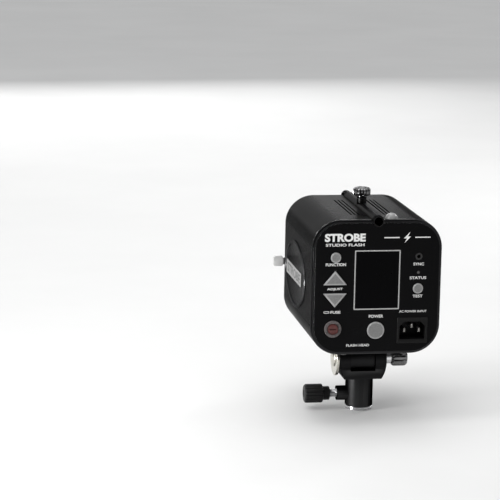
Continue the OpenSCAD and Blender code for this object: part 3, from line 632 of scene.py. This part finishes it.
dome_low, dome_high = low_mm("slave_dome"), high_mm("slave_dome")
dome_r = (dome_high.x - dome_low.x) / 2
dome_at = ((dome_low.x + dome_high.x) / 2, (dome_low.y + dome_high.y) / 2, dome_low.z)
dome_h = dome_high.z - dome_low.z
# Radius of the ball that the dome is the top of, and the height at which it leaves its foot
ball, foot_h = (dome_r ** 2 + dome_h ** 2) / (2 * dome_h), 0.9
skin, dome_steps = ball - 0.02, 14
profile = [(dome_r, 0), (dome_r - 0.05, 0.5), (dome_r - 0.3, 0.75)]
start = math.asin((foot_h - (dome_h - ball)) / ball)
profile += [(skin * math.cos(a), dome_h - ball + skin * math.sin(a))
            for a in (start + (math.pi / 2 - start) * i / dome_steps for i in range(dome_steps))]
profile.append((0, dome_h))
piece("slave_dome_body", turned(profile, dome_at), "dome_white", "head", "slave_dome", sharp=40)

softened("umbrella_tube", 0.35, 2)


def thread(r, depth, pitch, long):
    """Profile and radius rule of a screw thread from 0 to long, running out at both ends."""
    rows_a_turn, run_out = 6, 0.6
    rows = int(long / pitch * rows_a_turn)
    profile = [(0, 0), *[(r, long * i / rows) for i in range(rows + 1)], (0, long)]

    def radius(turn, _, h):
        wave = (h / pitch - turn / (2 * math.pi)) % 1
        ends = min(1, h / run_out, (long - h) / run_out)
        return r - depth * (1 - ends) - depth * ends * abs(2 * wave - 1)
    return profile, radius


lock_at = middle("umbrella_knob")
screw_low, screw_high = low_mm("umbrella_screw"), high_mm("umbrella_screw")
profile, rule = thread(3.0, 0.45, 1.0, screw_high.z - screw_low.z)
piece("umbrella_screw_body",
      turned(profile, (lock_at.x, lock_at.y, screw_low.z), "Z", 32, rule),
      "steel", "umbrella_handle", "umbrella_screw")


def fluted(count, depth, low, high):
    """Radius rule: round-bottomed flutes between two heights, fading at their ends."""
    fade = 0.6

    def radius(turn, r, h):
        ends = max(0.0, min(1.0, (h - low) / fade, (high - h) / fade))
        wave = max(0.0, math.cos(count * turn))
        return r - depth * ends * wave ** 1.5
    return radius


def grip(node, body, at, axis, profile, count, depth, low, high):
    """A knob of count flutes, cut between the heights low and high."""
    steps_a_flute = 12
    shape = turned(profile, at, axis, count * steps_a_flute, fluted(count, depth, low, high))
    piece(node + "_body", shape, slots[node], body, node, sharp=40)


knob_low, knob_high = low_mm("umbrella_knob"), high_mm("umbrella_knob")
r = (knob_high.x - knob_low.x) / 2
tall = knob_high.z - knob_low.z
# Height at which the knob's neck ends and its wide head begins
neck = tall - 7.7
grip("umbrella_knob", "umbrella_handle", (lock_at.x, lock_at.y, knob_low.z), "Z",
     [(3.02, 0), (4.3, 0), (4.6, 0.4), (4.6, neck - 0.5), (5.0, neck - 0.1), (r - 1.3, neck),
      (r - 0.3, neck + 0.5), (r, neck + 1.3), (r, tall - 2.0), (r - 0.35, tall - 1.1),
      (r - 1.4, tall - 0.4), (r - 2.6, tall), (4.5, tall), (4.0, tall - 0.5), (0, tall - 0.6)],
     16, 1.0, neck + 0.1, tall - 0.5)


# ---------------------------------------------------------------- side badges

# Radius of the badge's ends, and how far its wide arcs' centres lie off its axis, in mm
END_R, DROP = 22.0, 40.0
# The badge's lettered band, in mm: its size, how far it stands proud, how far it sits to the front
BAND_SIZE, BAND_PROUD, BAND_AHEAD = (76, 13), 0.48, 5
# How far the badge's face lies below its rim, in mm
FACE_IN = 0.6


def oval(long_half, high_half, inset, steps=14):
    """Points of an oval of four arcs: two ends of radius END_R, two wide ones between them."""
    end_at, wide_r = long_half - END_R, high_half + DROP
    meet = math.atan2(DROP, end_at)
    arcs = ((end_at, 0, END_R, -meet, meet),
            (0, -DROP, wide_r, meet, math.pi - meet),
            (-end_at, 0, END_R, math.pi - meet, math.pi + meet),
            (0, DROP, wide_r, math.pi + meet, 2 * math.pi - meet))
    points = []
    for u, v, r, a0, a1 in arcs:
        points += [(u + (r - inset) * math.cos(a), v + (r - inset) * math.sin(a))
                   for a in (a0 + (a1 - a0) * i / steps for i in range(steps))]
    return points


for side, sign in (("left", -1), ("right", 1)):
    node = "badge_" + side
    low, high = low_mm(node), high_mm(node)
    centre = (low + high) / 2
    inner = high.x if sign < 0 else low.x
    out = high.x - low.x
    rim = [(0, 0), (0, out - 0.35), (0.2, out - 0.1), (0.5, out), (1.0, out), (1.25, out - 0.3),
           (1.5, out - 0.3), (1.7, out - 0.05), (2.4, out - 0.05), (2.8, out - 0.3),
           (3.0, out - 0.55), (3.4, out - FACE_IN)]
    half_y, half_z = (high.y - low.y) / 2, (high.z - low.z) / 2
    shape = lofted([[(inner + sign * h, centre.y + u, centre.z + v)
                     for u, v in oval(half_y, half_z, inset)] for inset, h in rim])
    piece(node + "_body", shape, slots[node], "head", node, sharp=30)

    band = bmesh.new()
    face_x = inner + sign * (out - FACE_IN)
    band_y = centre.y + BAND_AHEAD
    ring = [band.verts.new((face_x * MM, (band_y + u) * MM, (centre.z + v) * MM))
            for u, v in rounded_outline(*BAND_SIZE, 0.8)]
    top = bmesh.ops.extrude_face_region(band, geom=[band.faces.new(ring)])
    moved = [v for v in top["geom"] if isinstance(v, bmesh.types.BMVert)]
    bmesh.ops.translate(band, verts=moved, vec=(sign * BAND_PROUD * MM, 0, 0))
    piece(node + "_band", band, "badge_band", "head")
    print_x = (face_x + sign * BAND_PROUD) * MM + sign * FACE * MM
    turn = Matrix(((0, -sign, 0, print_x), (sign, 0, 0, band_y * MM), (0, 0, 1, centre.z * MM),
                   (0, 0, 0, 1)))
    letters(node + "_word", "STROBE", 0, 0, 66, 8.6, 0.015, "badge_ink", turn)


# ---------------------------------------------------------------- flash end

for node in ("release_slide_left", "release_slide_right"):
    softened(node, 0.4, 2)
for node in ("release_cap_left", "release_cap_right"):
    softened(node, 0.9, 3)


def coil(low, high, z, wire, turns, flat):
    """Points of a spring along X, in mm; flat is how much of a turn at each end does not rise."""
    steps = 24
    r = (high.y - low.y) / 2 - wire
    y = (low.y + high.y) / 2
    run = high.x - low.x - 2 * wire
    points = []
    for i in range(turns * steps + 1):
        a = 2 * math.pi * i / steps
        along = i / (turns * steps)
        eased = min(1, max(0, (along * turns - flat) / (turns - 2 * flat)))
        points.append((low.x + wire + run * eased, y + r * math.cos(a), z + r * math.sin(a)))
    return points


for side in ("left", "right"):
    node = "release_springs_" + side
    low, high = low_mm(node), high_mm(node)
    r, wire = (high.y - low.y) / 2, 0.5
    for k, z in enumerate((low.z + r, high.z - r)):
        piece(f"{node}_{k}", swept(coil(low, high, z, wire, 7, 0.75), wire, 10), "steel",
              "release_" + side, node)

dish_low, dish_high = low_mm("reflector_dish"), high_mm("reflector_dish")
dish_z = (dish_low.z + dish_high.z) / 2
deep = dish_high.y - dish_low.y
rim_r = (dish_high.z - dish_low.z) / 2


def flare(low, high, steps=10):
    """Points of the dish's bell curve after low, up to and with high, both (radius, depth)."""
    return [(low[0] + (high[0] - low[0]) * t ** 0.75, low[1] + (high[1] - low[1]) * t)
            for t in (i / steps for i in range(1, steps + 1))]


profile = [(18.0, 0), (18.0, 0.7), (18.4, 0.8), (32.6, 0.8), (33.4, 1.1), (34.2, 1.9)]
profile += flare((34.2, 1.9), (rim_r - 1.0, deep - 4.4))
profile += [(rim_r - 0.8, deep - 0.35), (rim_r - 0.5, deep), (rim_r - 0.2, deep - 0.1),
            (rim_r, deep - 0.5), (rim_r, deep - 4.0)]
profile += reversed(flare((34.9, 1.2), (rim_r, deep - 4.2)))
profile += [(34.0, 0.4), (33.0, 0)]
piece("reflector_dish_body", turned(profile, (0, dish_low.y, dish_z), "Y", 128, closed=True),
      "reflector_aluminium", "head", "reflector_dish")

# In mm: the CAD tube's radius, the drawn glass's, and the radius that the trigger wire winds at
glass_r, drawn_r, wrap_r = 4.5, 3.45, 3.75
ring_r = (high_mm("flashtube").x - low_mm("flashtube").x) / 2 - glass_r
tube_y = high_mm("flashtube").y - glass_r
leg_x, leg_z, leg_back = 10.0, -25.0, low_mm("flashtube").y
gap = math.asin(leg_x / ring_r)
points = [(-leg_x, leg_back, dish_z + leg_z)]
points += [(-leg_x, leg_back + (tube_y - 6 - leg_back) * t, dish_z + leg_z)
           for t in (0.25, 0.5, 0.75, 0.9)]
points += [(-leg_x - 0.2, tube_y - 3.5, dish_z + leg_z - 0.1),
           (-leg_x - 0.7, tube_y - 1.2, dish_z + leg_z)]
start, sweep = math.pi * 1.5 - gap, 2 * math.pi - 2 * gap
arc_steps = 80
arc = []
for i in range(arc_steps + 1):
    a = start - sweep * i / arc_steps
    arc.append((ring_r * math.cos(a), tube_y, dish_z + ring_r * math.sin(a)))
path = points + arc[2:-2] + [(-x, y, z) for x, y, z in reversed(points)]
piece("flashtube_body", swept(path, drawn_r, 20), "frosted_glass", "head", "flashtube")

wraps, wire_steps, wire_gap = 14, 6 * (arc_steps + 1), 0.12
wire_path = []
for i in range(wire_steps):
    t = i / (wire_steps - 1)
    a = start - wire_gap - (sweep - 2 * wire_gap) * t
    wrap = t * 2 * math.pi * wraps
    out = ring_r + wrap_r * math.cos(wrap)
    wire_path.append((out * math.cos(a), tube_y + wrap_r * math.sin(wrap),
                      dish_z + out * math.sin(a)))
piece("flashtube_trigger_wire", swept(wire_path, 0.22, 6), "steel", "head")

softened("flashtube_sockets", 0.6, 2)
softened("lamp_holder", 0.8, 3)
lamp_low, lamp_high = low_mm("modeling_lamp"), high_mm("modeling_lamp")
lamp_long = lamp_high.y - lamp_low.y
lamp_r = (lamp_high.z - lamp_low.z) / 2
# Height at which the lamp's straight side ends and its round top begins
crown = 46
profile = [(0, 0), (13.0, 0), (13.2, 0.3), (13.2, 18.2), (13.4, 19.5), (14.2, 22), (lamp_r, 25.5),
           (lamp_r, crown)]
profile += [(lamp_r * math.cos(a) ** 0.8, crown + (lamp_long - crown) * math.sin(a))
            for a in (math.pi / 2 * i / 10 for i in range(1, 10))]
profile += [(0, lamp_long)]
piece("modeling_lamp_body", turned(profile, (0, lamp_low.y, dish_z), "Y", 72), "frosted_glass",
      "head", "modeling_lamp", sharp=50)


# ---------------------------------------------------------------- tilt mount and stand socket

softened("yoke", 1.1, 4)
softened("tilt_lug", 0.6, 2)
softened("tilt_end_plate", 0.7, 3)
softened("tilt_spacer", 0.4, 2)
softened("socket_tube", 0.5, 3)
softened("lug_screws", 0.3, 2)

bolt_low, bolt_high = low_mm("tilt_bolt"), high_mm("tilt_bolt")
bolt_z = (bolt_low.z + bolt_high.z) / 2
bolt_run = bolt_high.x - bolt_low.x
profile = [(0, 0), (2.5, 0.08), (4.6, 0.4), (6.4, 1.0), (7.7, 1.6), (8.4, 2.2), (8.5, 2.55),
           (4.0, 2.6), (4.0, bolt_run - 0.6), (3.5, bolt_run), (0, bolt_run)]
piece("tilt_bolt_body", turned(profile, (bolt_low.x, 0, bolt_z), "X"), "bright_plate", "mount",
      "tilt_bolt", sharp=40)

ring_low, ring_high = low_mm("socket_ring"), high_mm("socket_ring")
ring_out, ring_in = (ring_high.x - ring_low.x) / 2, 11.86
tall = ring_high.z - ring_low.z
profile = [(ring_in, 0.2), (12.2, 0), (ring_out - 0.5, 0), (ring_out - 0.15, 0.25),
           (ring_out, 0.8), (ring_out - 0.25, 1.5), (ring_out - 0.3, 1.8), (ring_out, 2.5),
           (ring_out - 0.15, tall - 0.3), (ring_out - 0.5, tall), (ring_in, tall)]
piece("socket_ring_body", turned(profile, (0, 0, ring_low.z), "Z", 96, closed=True), "chrome",
      "mount", "socket_ring")

tilt_low, tilt_high = low_mm("tilt_knob"), high_mm("tilt_knob")
run = tilt_high.x - tilt_low.x
r = (tilt_high.y - tilt_low.y) / 2
grip("tilt_knob", "tilt_handle", (tilt_low.x, 0, bolt_z), "X",
     [(4.06, 0), (r - 2.2, 0), (r - 1.2, 0.5), (r - 0.3, 1.3), (r, 2.4), (r, run - 3),
      (r - 0.4, run - 1.4), (r - 1.4, run - 0.4), (r - 2.8, run), (4.6, run), (4.2, run - 0.6),
      (0, run - 0.7)],
     14, 1.0, 0.6, run - 0.5)

knob_at = middle("stand_knob")
stand_low, stand_high = low_mm("stand_knob"), high_mm("stand_knob")
run = stand_high.x - stand_low.x
r = (stand_high.y - stand_low.y) / 2
grip("stand_knob", "stand_handle", (stand_high.x, 0, knob_at.z), "-X",
     [(4.06, 0), (6.0, 0), (6.6, 0.6), (6.6, 6.2), (6.9, 6.6), (r - 0.9, 6.9), (r - 0.2, 7.4),
      (r, 8.2), (r, run - 2.0), (r - 0.4, run - 0.9), (r - 1.3, run - 0.2), (r - 2.4, run),
      (3.6, run), (3.2, run - 0.5), (0, run - 0.6)],
     16, 0.9, 7.1, run - 0.6)
screw_low, screw_high = low_mm("stand_screw"), high_mm("stand_screw")
profile, rule = thread(4.0, 0.55, 1.25, screw_high.x - screw_low.x)
piece("stand_screw_body", turned(profile, (screw_low.x, 0, knob_at.z), "X", 32, rule), "steel",
      "stand_handle", "stand_screw")


# ---------------------------------------------------------------- what stays of the CAD model

for name, thing in nodes.items():
    if not thing.hide_render:
        thing.data.materials.clear()
        thing.data.materials.append(finishes[slots[name]])

make_camera()
make_studio()
